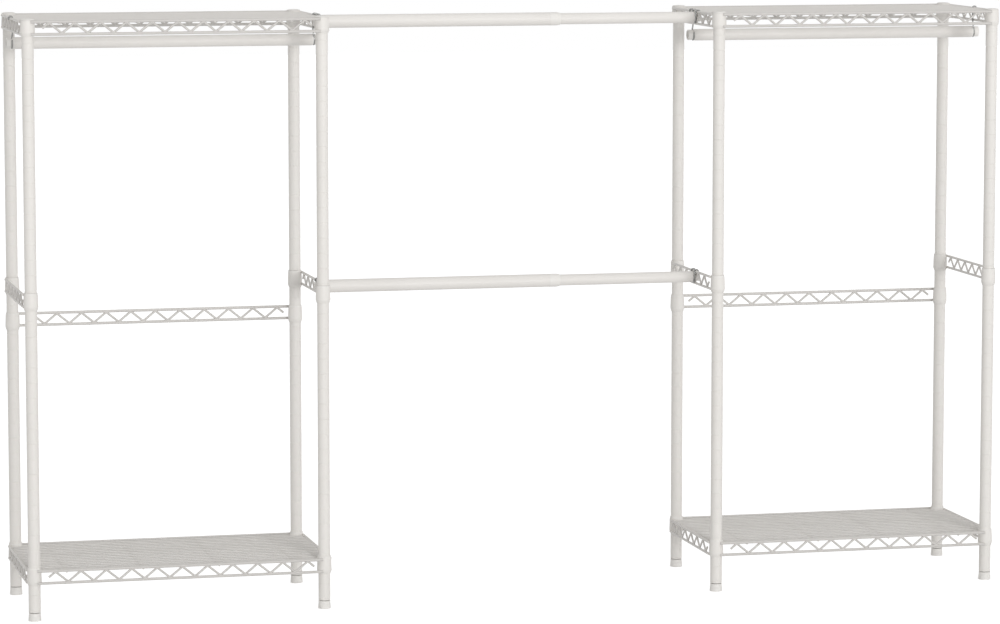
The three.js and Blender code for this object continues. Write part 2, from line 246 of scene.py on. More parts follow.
# Studio
WORLD_STRENGTH = 0.615
FLOOR_SIZE = 60
FLOOR_GLOW = 0.55
FLOOR_COLOUR = (0.82, 0.82, 0.82, 1)
WHITE = (1, 1, 1, 1)


# Node trees

FLOAT = "NodeSocketFloat"
WHOLE = "NodeSocketInt"
VECTOR = "NodeSocketVector"
COLOUR = "NodeSocketColor"
GEOMETRY = "NodeSocketGeometry"
MATERIAL = "NodeSocketMaterial"

# The colour sockets of a Mix node, which share their names with others
MIX_FIRST = 6
MIX_SECOND = 7
MIX_RESULT = 2


class Wire:
    """A value that runs between nodes. Arithmetic on it adds Math nodes."""

    def __init__(self, sheet, socket):
        self.sheet = sheet
        self.socket = socket

    def math(self, operation, *others):
        node = self.sheet.tree.nodes.new("ShaderNodeMath")
        node.operation = operation
        for socket, value in zip(node.inputs, (self, *others)):
            self.sheet.feed(socket, value)
        return Wire(self.sheet, node.outputs[0])

    def __add__(self, other):
        return self.math("ADD", other)

    def __sub__(self, other):
        return self.math("SUBTRACT", other)

    def __mul__(self, other):
        return self.math("MULTIPLY", other)

    def __truediv__(self, other):
        return self.math("DIVIDE", other)


class Sheet:
    """One node tree, and short calls that add nodes to it and link them."""

    def __init__(self, tree):
        self.tree = tree

    def feed(self, socket, value):
        """Links a wire or a list of wires to a socket, or sets the socket's own value."""
        if isinstance(value, Wire):
            self.tree.links.new(value.socket, socket)
        elif isinstance(value, list):
            for wire in value:
                self.tree.links.new(wire.socket, socket)
        else:
            socket.default_value = value

    def add(self, kind, inputs=None, output=0, **settings):
        node = self.tree.nodes.new(kind)
        for name, value in settings.items():
            setattr(node, name, value)
        for key, value in (inputs or {}).items():
            self.feed(node.inputs[key], value)
        return Wire(self, node.outputs[output])

    def vector(self, x, y, z):
        return self.add("ShaderNodeCombineXYZ", {"X": x, "Y": y, "Z": z})

    def mix(self, share, first, second):
        """A colour between two others."""
        return self.add("ShaderNodeMix", {
            "Factor": share, MIX_FIRST: first, MIX_SECOND: second,
        }, output=MIX_RESULT, data_type="RGBA")

    def end(self, outputs):
        """Ends the tree in its named outputs."""
        exit_node = self.tree.nodes.new("NodeGroupOutput")
        for name, wire in outputs.items():
            self.feed(exit_node.inputs[name], wire)
        return self.tree


def start_group(name, kind, inputs, outputs):
    """Starts a node tree with named inputs and outputs. Gives its sheet and the wires of its inputs."""
    tree = bpy.data.node_groups.new(name, kind)
    for label, (socket_type, value) in inputs.items():
        socket = tree.interface.new_socket(label, in_out="INPUT", socket_type=socket_type)
        if value is not None:
            socket.default_value = value
    for label, socket_type in outputs.items():
        tree.interface.new_socket(label, in_out="OUTPUT", socket_type=socket_type)
    sheet = Sheet(tree)
    entry = tree.nodes.new("NodeGroupInput")
    given = {label: Wire(sheet, entry.outputs[label]) for label in inputs}
    return sheet, given


def end_mesh_tree(sheet, mesh, material):
    real = sheet.add("GeometryNodeRealizeInstances", {"Geometry": mesh})
    coated = sheet.add("GeometryNodeSetMaterial", {"Geometry": real, "Material": material})
    return sheet.end({"Mesh": coated})


def wire_between(sheet, start, end, radius, sides):
    line = sheet.add("GeometryNodeCurvePrimitiveLine", {"Start": start, "End": end})
    return wire_along(sheet, line, radius, sides)


def wire_along(sheet, path, radius, sides):
    section = sheet.add("GeometryNodeCurvePrimitiveCircle", {"Resolution": sides, "Radius": radius})
    return sheet.add("GeometryNodeCurveToMesh", {
        "Curve": path, "Profile Curve": section, "Fill Caps": True,
    })


def bent_wire_along(sheet, edges, bend_radius, radius, sides):
    """A round wire along a row of edges, with its corners rounded."""
    path = sheet.add("GeometryNodeMeshToCurve", {"Mesh": edges})
    soft = sheet.add("GeometryNodeFilletCurve", {
        "Curve": path, "Count": ARC_STEPS, "Radius": bend_radius, "Limit Radius": True,
    }, mode="POLY")
    return wire_along(sheet, soft, radius, sides)


def build_truss_tree():
    """Two chords along X with a zigzag wire between them. The first bend is on the top chord."""
    sheet, given = start_group("Zigzag truss", "GeometryNodeTree", {
        "Length": (FLOAT, None),
        "Bends": (WHOLE, None),
        "Inset": (FLOAT, None),
        "Shift": (FLOAT, None),
        "Chord End Inset": (FLOAT, CHORD_END_INSET),
        "Spacing": (FLOAT, CHORD_SPACING),
        "Zigzag Height": (FLOAT, ZIGZAG_HEIGHT),
        "Chord Radius": (FLOAT, None),
        "Zigzag Radius": (FLOAT, None),
        "Bend Radius": (FLOAT, ZIGZAG_BEND),
        "Stub Share": (FLOAT, STUB_SHARE),
        "Sides": (WHOLE, WIRE_SIDES),
        "Material": (MATERIAL, None),
    }, {"Mesh": GEOMETRY})
    last = given["Bends"] - 1
    half_pitch = (given["Length"] - given["Inset"] * 2) / last
    line = sheet.add("GeometryNodeMeshLine", {"Count": given["Bends"] + 2})
    place = sheet.add("GeometryNodeInputIndex") - 1
    stub = given["Stub Share"]
    step = place.math("MAXIMUM", stub * -1).math("MINIMUM", last + stub)
    x = (step - last / 2) * half_pitch + given["Shift"]
    z = given["Zigzag Height"] * (step.math("PINGPONG", 1) * -1 + 0.5)
    bends = sheet.add("GeometryNodeSetPosition", {"Geometry": line, "Position": sheet.vector(x, 0, z)})
    zigzag = bent_wire_along(sheet, bends, given["Bend Radius"], given["Zigzag Radius"], given["Sides"])
    reach = given["Length"] / 2 - given["Chord End Inset"]
    chords = [
        wire_between(
            sheet,
            sheet.vector(reach * -1, 0, given["Spacing"] * side),
            sheet.vector(reach, 0, given["Spacing"] * side),
            given["Chord Radius"],
            given["Sides"],
        )
        for side in (-0.5, 0.5)
    ]
    whole = sheet.add("GeometryNodeJoinGeometry", {"Geometry": [zigzag, *chords]})
    return end_mesh_tree(sheet, whole, given["Material"])


def build_row_tree():
    """A row of straight wires, centred on the origin. Step leads from wire to wire, Run is one wire.

    Count, Step and Wire Radius start as a shelf deck's."""
    sheet, given = start_group("Wire row", "GeometryNodeTree", {
        "Count": (WHOLE, DECK_WIRE_COUNT),
        "Step": (VECTOR, (0, DECK_WIRE_PITCH, 0)),
        "Run": (VECTOR, None),
        "Wire Radius": (FLOAT, DECK_WIRE_RADIUS),
        "Sides": (WHOLE, WIRE_SIDES),
        "Material": (MATERIAL, None),
    }, {"Mesh": GEOMETRY})

    def scaled(vector, share):
        return sheet.add("ShaderNodeVectorMath", {0: vector, "Scale": share}, operation="SCALE")

    start = scaled(given["Step"], (given["Count"] - 1) * -0.5)
    line = sheet.add("GeometryNodeMeshLine", {
        "Count": given["Count"], "Start Location": start, "Offset": given["Step"],
    })
    run = given["Run"]
    wire = wire_between(sheet, scaled(run, -0.5), scaled(run, 0.5), given["Wire Radius"], given["Sides"])
    row = sheet.add("GeometryNodeInstanceOnPoints", {"Points": line, "Instance": wire})
    return end_mesh_tree(sheet, row, given["Material"])


def build_bent_wire_tree():
    """A round wire along the edges of the source mesh, with its corners rounded."""
    sheet, given = start_group("Bent wire", "GeometryNodeTree", {
        "Path": (GEOMETRY, None),
        "Wire Radius": (FLOAT, HOOK_WIRE_RADIUS),
        "Bend Radius": (FLOAT, HOOK_BEND),
        "Sides": (WHOLE, WIRE_SIDES),
        "Material": (MATERIAL, None),
    }, {"Mesh": GEOMETRY})
    wire = bent_wire_along(
        sheet, given["Path"], given["Bend Radius"], given["Wire Radius"], given["Sides"])
    return end_mesh_tree(sheet, wire, given["Material"])


def build_post_tree():
    """A post tube with ring grooves at an even pitch, turned from a grid: one row a ring, one column a
    side. The tail is the spigot below an upper post. The neck is the narrow bore at the bottom of a post.

    Tail Radius, Neck Bore, Neck Length and First Groove start as a lower post's."""
    sheet, given = start_group("Grooved post", "GeometryNodeTree", {
        "Radius": (FLOAT, None),
        "Bore": (FLOAT, None),
        "Bottom": (FLOAT, None),
        "Top": (FLOAT, None),
        "Edge": (FLOAT, TUBE_EDGE),
        "Tail Radius": (FLOAT, INSERT_BORE),
        "Tail Bottom": (FLOAT, None),
        "Neck Bore": (FLOAT, INSERT_BORE),
        "Neck Length": (FLOAT, INSERT_LENGTH),
        "First Groove": (FLOAT, FIRST_GROOVE),
        "Groove Pitch": (FLOAT, GROOVE_PITCH),
        "Groove Width": (FLOAT, GROOVE_WIDTH),
        "Groove Depth": (FLOAT, GROOVE_DEPTH),
        "Groove Count": (WHOLE, None),
        "Sides": (WHOLE, POST_SIDES),
        "Material": (MATERIAL, None),
    }, {"Mesh": GEOMETRY})
    radius = given["Radius"]
    bottom = given["Bottom"]
    top = given["Top"]
    edge = given["Edge"]
    neck_top = bottom + given["Neck Length"]
    rings_below = [
        (given["Neck Bore"], given["Tail Bottom"]),
        (given["Tail Radius"], given["Tail Bottom"]),
        (given["Tail Radius"], bottom),
        (radius - edge, bottom),
        (radius, bottom + edge),
    ]
    rings_above = [
        (radius, top - edge),
        (radius - edge, top),
        (given["Bore"], top),
        (given["Bore"], neck_top),
        (given["Neck Bore"], neck_top),
        (given["Neck Bore"], given["Tail Bottom"]),
    ]
    plain_rings = rings_below + rings_above
    below = len(rings_below)
    groove_rows = given["Groove Count"] * GROOVE_CORNERS
    rows = groove_rows + len(plain_rings)
    index = sheet.add("GeometryNodeInputIndex")
    row = index.math("MODULO", rows)
    column = (index / rows).math("FLOOR")

    # The first and last corners of a groove are on the post's skin, and the others at its depth.
    last_corner = GROOVE_CORNERS - 1
    groove_row = row - below
    corner = groove_row.math("MODULO", GROOVE_CORNERS)
    groove_z = given["First Groove"] + given["Groove Pitch"] * (groove_row / GROOVE_CORNERS).math("FLOOR")
    groove_z = groove_z + (corner / last_corner - 0.5) * given["Groove Width"]
    inside = (corner - last_corner / 2).math("ABSOLUTE").math("LESS_THAN", 1)
    groove_radius = radius - given["Groove Depth"] * inside

    ring = row.math("MINIMUM", below - 1).math("MAXIMUM", row - groove_rows)
    in_grooves = row.math("GREATER_THAN", below - 0.5) * row.math("LESS_THAN", groove_rows + below - 0.5)

    def chosen(values, groove_value):
        switch = sheet.tree.nodes.new("GeometryNodeIndexSwitch")
        switch.data_type = "FLOAT"
        while len(switch.index_switch_items) < len(values):
            switch.index_switch_items.new()
        sheet.feed(switch.inputs["Index"], ring)
        for socket, value in zip(list(switch.inputs)[1:], values):
            sheet.feed(socket, value)
        plain = Wire(sheet, switch.outputs[0])
        return plain * (in_grooves * -1 + 1) + groove_value * in_grooves

    ring_radius = chosen([place[0] for place in plain_rings], groove_radius)
    ring_z = chosen([place[1] for place in plain_rings], groove_z)
    angle = column / given["Sides"] * math.tau
    position = sheet.vector(ring_radius * angle.math("COSINE"), ring_radius * angle.math("SINE"), ring_z)
    grid = sheet.add("GeometryNodeMeshGrid", {"Vertices X": given["Sides"] + 1, "Vertices Y": rows})
    tube = sheet.add("GeometryNodeSetPosition", {"Geometry": grid, "Position": position})
    return end_mesh_tree(sheet, tube, given["Material"])


def grow(tree, sizes, source=None):
    """The plain, closed mesh that a tree makes from these sizes."""
    seed = source or bpy.data.meshes.new("seed")
    carrier = bpy.data.objects.new("carrier", seed)
    bpy.context.scene.collection.objects.link(carrier)
    modifier = carrier.modifiers.new("grow", "NODES")
    modifier.node_group = tree
    for item in tree.interface.items_tree:
        if item.in_out == "INPUT" and item.name in sizes:
            modifier[item.identifier] = sizes[item.name]
    evaluated = carrier.evaluated_get(bpy.context.evaluated_depsgraph_get())
    mesh = bpy.data.meshes.new_from_object(evaluated)
    carrier.modifiers.remove(modifier)
    bpy.data.objects.remove(carrier)
    return closed(mesh)


# Mesh code

def closed(mesh):
    """Merges a mesh's doubles and turns its faces outwards."""
    work = bmesh.new()
    work.from_mesh(mesh)
    bmesh.ops.remove_doubles(work, verts=work.verts, dist=SAME_CORNER)
    bmesh.ops.dissolve_degenerate(work, edges=work.edges, dist=SAME_CORNER)
    bmesh.ops.recalc_face_normals(work, faces=work.faces)
    work.to_mesh(mesh)
    work.free()
    return mesh


def as_mesh(work, name):
    """The mesh of a bmesh, with its faces turned outwards."""
    bmesh.ops.recalc_face_normals(work, faces=work.faces)
    mesh = bpy.data.meshes.new(name)
    work.to_mesh(mesh)
    work.free()
    return mesh


def softened(corners):
    """An outline of (radius, height, rounding) corners as points, with an arc at each rounded corner."""
    points = []
    for index, (radius, height, rounding) in enumerate(corners):
        corner = Vector((radius, height))
        if not rounding:
            points.append(corner)
            continue
        before = Vector(corners[index - 1][:2]) - corner
        after = Vector(corners[(index + 1) % len(corners)][:2]) - corner
        half_angle = before.angle(after) / 2
        reach = min(rounding / math.tan(half_angle), before.length / 2, after.length / 2)
        start = corner + before.normalized() * reach
        end = corner + after.normalized() * reach
        inward = (before.normalized() + after.normalized()).normalized()
        centre = corner + inward * reach / math.cos(half_angle)
        spoke = start - centre
        turn = spoke.angle_signed(end - centre)
        for step in range(ARC_STEPS + 1):
            swung = spoke.copy()
            swung.rotate(Matrix.Rotation(-turn * step / ARC_STEPS, 2))
            points.append(centre + swung)
    return [(point.x, point.y) for point in points]


def turned(outline, sides=POST_SIDES, loop=False, start=0.0, sweep=math.tau):
    """Turns (radius, height) points around Z. A loop is an outline that closes on itself."""
    whole = sweep == math.tau
    columns = sides if whole else sides + 1
    work = bmesh.new()
    rings = []
    for radius, height in outline:
        if radius == 0:
            rings.append([work.verts.new((0, 0, height))] * columns)
            continue
        ring = []
        for column in range(columns):
            angle = start + sweep * column / sides
            ring.append(work.verts.new((radius * math.cos(angle), radius * math.sin(angle), height)))
        rings.append(ring)
    if loop:
        rings.append(rings[0])
    for lower, upper in zip(rings, rings[1:]):
        for column in range(sides):
            following = (column + 1) % columns
            around = [lower[column], lower[following], upper[following], upper[column]]
            corners = list(dict.fromkeys(around))
            if len(corners) > 2:
                work.faces.new(corners)
    if not whole:
        work.faces.new([ring[0] for ring in rings[:-1]])
        work.faces.new([ring[-1] for ring in rings[:-1]])
    return as_mesh(work, "turned")


def screw_thread(radius, depth, pitch, bottom, top):
    """A closed rod with a V thread that climbs as it goes round."""
    rows = round((top - bottom) / pitch * THREAD_ROWS_A_TURN)
    work = bmesh.new()
    rings = []
    for row in range(rows + 1):
        height = bottom + (top - bottom) * row / rows
        ring = []
        for side in range(THREAD_SIDES):
            angle = math.tau * side / THREAD_SIDES
            turn = (height / pitch - side / THREAD_SIDES) % 1
            reach = radius - depth * abs(2 * turn - 1)
            ring.append(work.verts.new((reach * math.cos(angle), reach * math.sin(angle), height)))
        rings.append(ring)
    for lower, upper in zip(rings, rings[1:]):
        for side in range(THREAD_SIDES):
            following = (side + 1) % THREAD_SIDES
            work.faces.new([lower[side], lower[following], upper[following], upper[side]])
    work.faces.new(rings[0])
    work.faces.new(rings[-1])
    return as_mesh(work, "thread")


def path_mesh(points):
    mesh = bpy.data.meshes.new("path")
    mesh.from_pydata(points, [(index, index + 1) for index in range(len(points) - 1)], [])
    return mesh


BODY_OF = {node: body for body, nodes in frame["record"]["behaviour"]["bodies"].items() for node in nodes}


def make_piece(name, parts, material, body, replaced=()):
    """Joins placed meshes into one finished object at the origin, which rides on a body.

    A mesh that has a material of its own keeps it."""
    gathered = bmesh.new()
    finishes = []
    for mesh, place in parts:
        finish = next((own for own in mesh.materials if own), material)
        if finish not in finishes:
            finishes.append(finish)
        placed = mesh.copy()
        placed.transform(place)
        for face in placed.polygons:
            face.material_index = finishes.index(finish)
        gathered.from_mesh(placed)
        bpy.data.meshes.remove(placed)
    data = bpy.data.meshes.new(name)
    gathered.to_mesh(data)
    gathered.free()
    for finish in finishes:
        data.materials.append(finish)
    for face in data.polygons:
        face.use_smooth = True
    data.set_sharp_from_angle(angle=SMOOTH_ANGLE)
    piece = bpy.data.objects.new(name, data)
    bpy.context.scene.collection.objects.link(piece)
    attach(piece, body)
    if replaced:
        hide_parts(*replaced)


def dress(node, parts, material):
    """Makes the finished piece that stands for one CAD node."""
    make_piece(f"{node}_finish", parts, material, BODY_OF[node], (node,))


# Materials

def build_tone_group():
    """Slow changes of tone over a surface, as a coating has."""
    sheet, given = start_group("Tone drift", "ShaderNodeTree", {
        "Colour": (COLOUR, None),
        "Shade": (COLOUR, None),
        "Patch Scale": (FLOAT, None),
        "Amount": (FLOAT, None),
    }, {"Colour": COLOUR})
    place = sheet.add("ShaderNodeTexCoord", output="Object")
    noise = sheet.add("ShaderNodeTexNoise", {
        "Vector": place, "Scale": given["Patch Scale"], "Detail": 3.0, "Roughness": 0.55,
    })
    share = sheet.add("ShaderNodeMapRange", {
        "Value": noise, "From Min": 0.35, "From Max": 0.7, "To Min": 0.0, "To Max": given["Amount"],
    })
    return sheet.end({"Colour": sheet.mix(share, given["Colour"], given["Shade"])})


def build_grain_group():
    """The height of a fine pebbled skin: orange peel in a powder coat, or the grain of a mould."""
    sheet, given = start_group("Pebbled skin", "ShaderNodeTree", {
        "Pebble Scale": (FLOAT, None),
        "Swell Scale": (FLOAT, SWELL_SCALE),
        "Swell Share": (FLOAT, SWELL_SHARE),
    }, {"Height": FLOAT})
    place = sheet.add("ShaderNodeTexCoord", output="Object")
    pebbles = sheet.add("ShaderNodeTexNoise", {
        "Vector": place, "Scale": given["Pebble Scale"], "Detail": 2.0, "Roughness": 0.5,
    })
    swell = sheet.add("ShaderNodeTexNoise", {
        "Vector": place, "Scale": given["Swell Scale"], "Detail": 1.0, "Roughness": 0.5,
    })
    return sheet.end({"Height": pebbles + swell * given["Swell Share"]})


def build_dust_group():
    """A thin film of dust on faces that look up, and how much it dulls them."""
    sheet, given = start_group("Settled dust", "ShaderNodeTree", {
        "Colour": (COLOUR, None),
        "Dust Colour": (COLOUR, DUST_COLOUR),
        "Amount": (FLOAT, None),
        "Roughness": (FLOAT, None),
    }, {"Colour": COLOUR, "Roughness": FLOAT})
    normal = sheet.add("ShaderNodeNewGeometry", output="Normal")
    upward = sheet.add("ShaderNodeSeparateXYZ", {"Vector": normal}, output="Z")
    place = sheet.add("ShaderNodeTexCoord", output="Object")
    noise = sheet.add("ShaderNodeTexNoise", {"Vector": place, "Scale": DUST_SCALE, "Detail": 4.0})
    film = upward.math("MAXIMUM", 0).math("POWER", DUST_SLOPE_POWER) * noise * given["Amount"]
    return sheet.end({
        "Colour": sheet.mix(film, given["Colour"], given["Dust Colour"]),
        "Roughness": given["Roughness"] + film,
    })


GROUPS = {"tone": build_tone_group(), "grain": build_grain_group(), "dust": build_dust_group()}


def place_group(sheet, name, inputs):
    """Places a shared group in a material, with its own values. Gives the group's outputs by name."""
    node = sheet.tree.nodes.new("ShaderNodeGroup")
    node.node_tree = GROUPS[name]
    for key, value in inputs.items():
        sheet.feed(node.inputs[key], value)
    return {socket.name: Wire(sheet, socket) for socket in node.outputs}


def start_material(name):
    """A new material, the sheet of its nodes and its shader."""
    material = bpy.data.materials.new(name)
    material.use_nodes = True
    return material, Sheet(material.node_tree), material.node_tree.nodes["Principled BSDF"]


def build_finish(name, colour, shade, patch_scale, pebble_scale, pebble_depth, dust, coat=0.0):
    """One off-white finish, from the shared groups with its own values."""
    material, sheet, shader = start_material(name)
    tone = place_group(sheet, "tone", {
        "Colour": (*colour, 1), "Shade": (*shade, 1), "Patch Scale": patch_scale, "Amount": TONE_SHARE,
    })
    dusty = place_group(sheet, "dust", {
        "Colour": tone["Colour"], "Amount": dust, "Roughness": FINISH_ROUGHNESS,
    })
    grain = place_group(sheet, "grain", {"Pebble Scale": pebble_scale})
    bump = sheet.add("ShaderNodeBump", {
        "Strength": PEBBLE_STRENGTH, "Distance": pebble_depth, "Height": grain["Height"],
    })
    sheet.feed(shader.inputs["Base Color"], dusty["Colour"])
    sheet.feed(shader.inputs["Roughness"], dusty["Roughness"])
    sheet.feed(shader.inputs["Normal"], bump)
    shader.inputs["Metallic"].default_value = 0
    shader.inputs["Coat Weight"].default_value = coat
    shader.inputs["Coat Roughness"].default_value = COAT_ROUGHNESS
    shader.inputs["Specular IOR Level"].default_value = FINISH_SPECULAR_LEVEL
    return material


def build_zinc(name, colour, shade):
    """Zinc plate, mottled between two greys."""
    material, sheet, shader = start_material(name)
    place = sheet.add("ShaderNodeTexCoord", output="Object")
    noise = sheet.add("ShaderNodeTexNoise", {"Vector": place, "Scale": ZINC_SCALE, "Detail": 3.0})
    sheet.feed(shader.inputs["Base Color"], sheet.mix(noise, (*colour, 1), (*shade, 1)))
    sheet.feed(shader.inputs["Roughness"], noise * ZINC_ROUGHNESS_SPREAD + ZINC_ROUGHNESS)
    shader.inputs["Metallic"].default_value = 1
    return material


post_coat = build_finish(
    "post_powder_coat", colour=(0.81, 0.785, 0.75), shade=(0.77, 0.745, 0.71),
    patch_scale=6.0, pebble_scale=520.0, pebble_depth=0.12 * MM, dust=0.1,
)
# The coat of the deck, edge, support and short-truss wires is darker than the posts' coat. Part of that
# is the wires' own tone and part is painted shade for the shade among the dense deck wires.
wire_coat_and_painted_shade = build_finish(
    "wire_powder_coat_and_painted_shade", colour=(0.725, 0.703, 0.675), shade=(0.685, 0.663, 0.635),
    patch_scale=14.0, pebble_scale=700.0, pebble_depth=0.1 * MM, dust=0.2,
)
truss_coat = build_finish(
    "truss_powder_coat", colour=(0.63, 0.61, 0.585), shade=(0.59, 0.57, 0.545),
    patch_scale=14.0, pebble_scale=700.0, pebble_depth=0.1 * MM, dust=0.2,
)
rod_coat = build_finish(
    "rod_powder_coat", colour=(0.79, 0.765, 0.733), shade=(0.75, 0.725, 0.693),
    patch_scale=5.0, pebble_scale=460.0, pebble_depth=0.1 * MM, dust=0.12, coat=0.05,
)
trim_plastic = build_finish(
    "moulded_trim_plastic", colour=(0.82, 0.8, 0.77), shade=(0.78, 0.76, 0.725),
    patch_scale=20.0, pebble_scale=1400.0, pebble_depth=0.06 * MM, dust=0.15,
)
screw_zinc = build_zinc("screw_zinc_plate", colour=(0.62, 0.63, 0.64), shade=(0.48, 0.49, 0.5))
# The hook wire's zinc is much darker than the screws'. Part of that is the wire's own grey and part is
# painted shade for the shaded grooves where the hooks hold the rod ends.
hook_zinc_and_painted_shade = build_zinc("hook_zinc_plate_and_painted_shade", colour=(0.36, 0.36, 0.35), shade=(0.22, 0.22, 0.215))


# Places of the towers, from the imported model

SIDES = ("left", "right")
OUTWARD = {"left": -1, "right": 1}
ROWS = ("front", "back")
COLUMNS = ("outer", "inner")
POSTS = [f"{side}_{row}_{column}" for side in SIDES for row in ROWS for column in COLUMNS]
LEVELS = ("upper", "lower")


def axis_of(node):
    low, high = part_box(node)
    return (low + high) / 2


def at(x, y, z, angle=0.0):
    return Matrix.Translation((x, y, z)) @ Matrix.Rotation(angle, 4, "Z")


# Posts

def dress_posts():
    tree = build_post_tree()
    low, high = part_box("left_front_outer_lower_post")
    radius = (high.x - low.x) / 2
    upper_low, upper_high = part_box("left_front_outer_upper_post")
    lower_count = math.floor((high.z - FIRST_GROOVE) / GROOVE_PITCH) + 1
    upper_first = FIRST_GROOVE + lower_count * GROOVE_PITCH
    upper_count = math.floor((upper_high.z - upper_first) / GROOVE_PITCH) + 1
    shared_sizes = {"Radius": radius, "Bore": radius - POST_WALL, "Material": post_coat}
    lower = grow(tree, {
        **shared_sizes,
        "Bottom": FOOT_HEIGHT + FOOT_SHADOW_GAP,
        "Top": high.z,
        "Tail Bottom": FOOT_HEIGHT + FOOT_SHADOW_GAP,
        "Groove Count": lower_count,
    })
    upper = grow(tree, {
        **shared_sizes,
        "Bottom": upper_low.z + SPIGOT_LENGTH,
        "Top": upper_high.z,
        "Tail Bottom": upper_low.z,
        "Tail Radius": SPIGOT_RADIUS,
        "Neck Bore": SPIGOT_BORE,
        "Neck Length": POST_WALL,
        "First Groove": upper_first,
        "Groove Count": upper_count,
    })
    for post in POSTS:
        axis = axis_of(f"{post}_lower_post")
        dress(f"{post}_lower_post", [(lower, at(axis.x, axis.y, 0))], post_coat)
        dress(f"{post}_upper_post", [(upper, at(axis.x, axis.y, 0))], post_coat)


def foot_mesh():
    boss_top = FOOT_HEIGHT + FOOT_BOSS_RISE
    return turned(softened([
        (0, 0, 0),
        (FOOT_BASE_RADIUS, 0, FOOT_RIM_EDGE),
        (FOOT_RIM_RADIUS, FOOT_RIM_HEIGHT, FOOT_RIM_EDGE),
        (FOOT_BAND_RADIUS, FOOT_BAND_BOTTOM, 0),
        (FOOT_BAND_RADIUS, FOOT_BAND_TOP, FOOT_BAND_EDGE),
        (FOOT_STEP_RADIUS, FOOT_STEP_HEIGHT, FOOT_STEP_EDGE),
        (FOOT_TOP_RADIUS, FOOT_HEIGHT, FOOT_TOP_EDGE),
        (FOOT_BOSS_RADIUS, FOOT_HEIGHT, 0),
        (FOOT_BOSS_RADIUS, boss_top, FOOT_BOSS_EDGE),
        (0, boss_top, 0),
    ]))


def cap_mesh():
    """A domed cap on the plug that holds it in a post."""
    low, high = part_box("left_front_outer_cap")
    radius = (high.x - low.x) / 2
    seat = high.z - CAP_HEIGHT
    return turned(softened([
        (0, low.z, 0),
        (CAP_PLUG_RADIUS, low.z, CAP_PLUG_EDGE),
        (CAP_PLUG_RADIUS, seat, 0),
        (radius, seat, CAP_SEAT_EDGE),
        (radius, seat + CAP_RIM_HEIGHT, CAP_RIM_ROUNDING),
        (CAP_DOME_RADIUS, high.z - CAP_DOME_DROP, CAP_DOME_ROUNDING),
        (0, high.z, 0),
    ]))


def dress_feet_and_caps():
    foot = foot_mesh()
    screw_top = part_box("left_front_outer_foot")[1].z
    screw = screw_thread(SCREW_RADIUS, THREAD_DEPTH, THREAD_PITCH, FOOT_HEIGHT, screw_top)
    cap = cap_mesh()
    for post in POSTS:
        axis = axis_of(f"{post}_foot")
        place = at(axis.x, axis.y, 0)
        dress(f"{post}_foot", [(foot, place)], trim_plastic)
        make_piece(f"{post}_foot_screw", [(screw, place)], screw_zinc, f"{post}_foot")
        dress(f"{post}_cap", [(cap, place)], trim_plastic)


# Shelves and ladders

def collar_mesh(height):
    collar = turned(softened([
        (COLLAR_BORE, 0, 0),
        (COLLAR_TOE_RADIUS, 0, COLLAR_TOE_EDGE),
        (COLLAR_WIDE_RADIUS, COLLAR_TOE_HEIGHT, COLLAR_WIDE_ROUNDING),
        (COLLAR_TOP_RADIUS, height, COLLAR_TOP_EDGE),
        (COLLAR_BORE, height, 0),
    ]), loop=True)
    collar.materials.append(post_coat)
    return collar


def grow_wirework(width, depth):
    """The trusses, which run along X, and the rows of wires of a deck, all centred on the origin."""
    truss_tree = build_truss_tree()
    row_tree = build_row_tree()

    def truss(length, bends, chord_radius, zigzag_radius, coat):
        count, inset, shift = bends
        return grow(truss_tree, {
            "Length": length,
            "Bends": count,
            "Inset": inset,
            "Shift": shift,
            "Chord Radius": chord_radius,
            "Zigzag Radius": zigzag_radius,
            "Material": coat,
        })

    return {
        "shelf truss": truss(width, SHELF_BENDS, LONG_CHORD_RADIUS, LONG_ZIGZAG_RADIUS, truss_coat),
        "ladder truss": truss(width, LADDER_BENDS, LONG_CHORD_RADIUS, LONG_ZIGZAG_RADIUS, truss_coat),
        "short truss": truss(depth, SHORT_BENDS, CHORD_RADIUS, ZIGZAG_RADIUS, wire_coat_and_painted_shade),
        "deck": grow(row_tree, {"Run": (width + 2 * TRUSS_OFFSET, 0, 0), "Material": wire_coat_and_painted_shade}),
        "edge wires": grow(row_tree, {
            "Count": 2,
            "Step": (0, DECK_WIRE_PITCH * (DECK_WIRE_COUNT + 1), 0),
            "Run": (width - 2 * EDGE_WIRE_INSET, 0, 0),
            "Material": wire_coat_and_painted_shade,
        }),
        "supports": grow(row_tree, {
            "Count": SUPPORT_COUNT,
            "Step": (SUPPORT_PITCH, 0, 0),
            "Run": (0, depth + 2 * TRUSS_OFFSET, 0),
            "Wire Radius": SUPPORT_RADIUS,
            "Material": wire_coat_and_painted_shade,
        }),
    }


